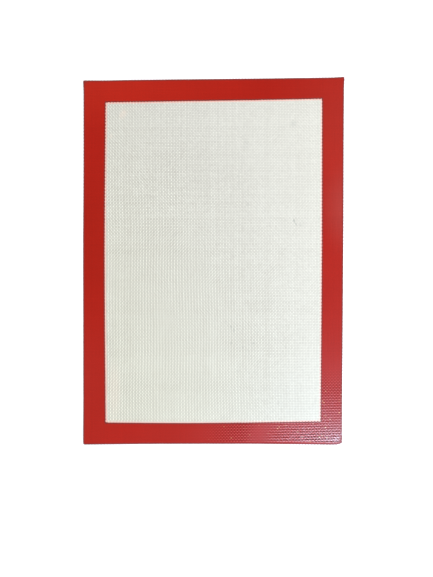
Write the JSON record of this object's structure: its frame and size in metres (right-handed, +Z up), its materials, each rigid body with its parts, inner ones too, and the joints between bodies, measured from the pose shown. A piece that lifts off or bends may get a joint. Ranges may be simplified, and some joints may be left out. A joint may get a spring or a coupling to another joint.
{
  "type": "silicone baking mat",
  "caption": "Flat rectangular baking mat of woven glass cloth between translucent silicone coats, with a red silicone border on both faces and a sealed red edge.",
  "frame": {"origin": "middle of the mat's outline, on the tray that it lies on", "axes": "+X across the mat, +Y along its length towards the wider printed band, +Z up from the tray"},
  "size_m": [0.298, 0.42, 0.0008],
  "materials": {
    "woven_glass": "matte",
    "clear_silicone": "satin",
    "red_silicone": "satin"
  },
  "bodies": {
    "root": {"glass_cloth": "woven_glass", "bottom_coat": "clear_silicone", "top_coat": "clear_silicone", "bottom_border": "red_silicone", "top_border": "red_silicone", "edge_bead": "red_silicone"}
  },
  "joints": []
}
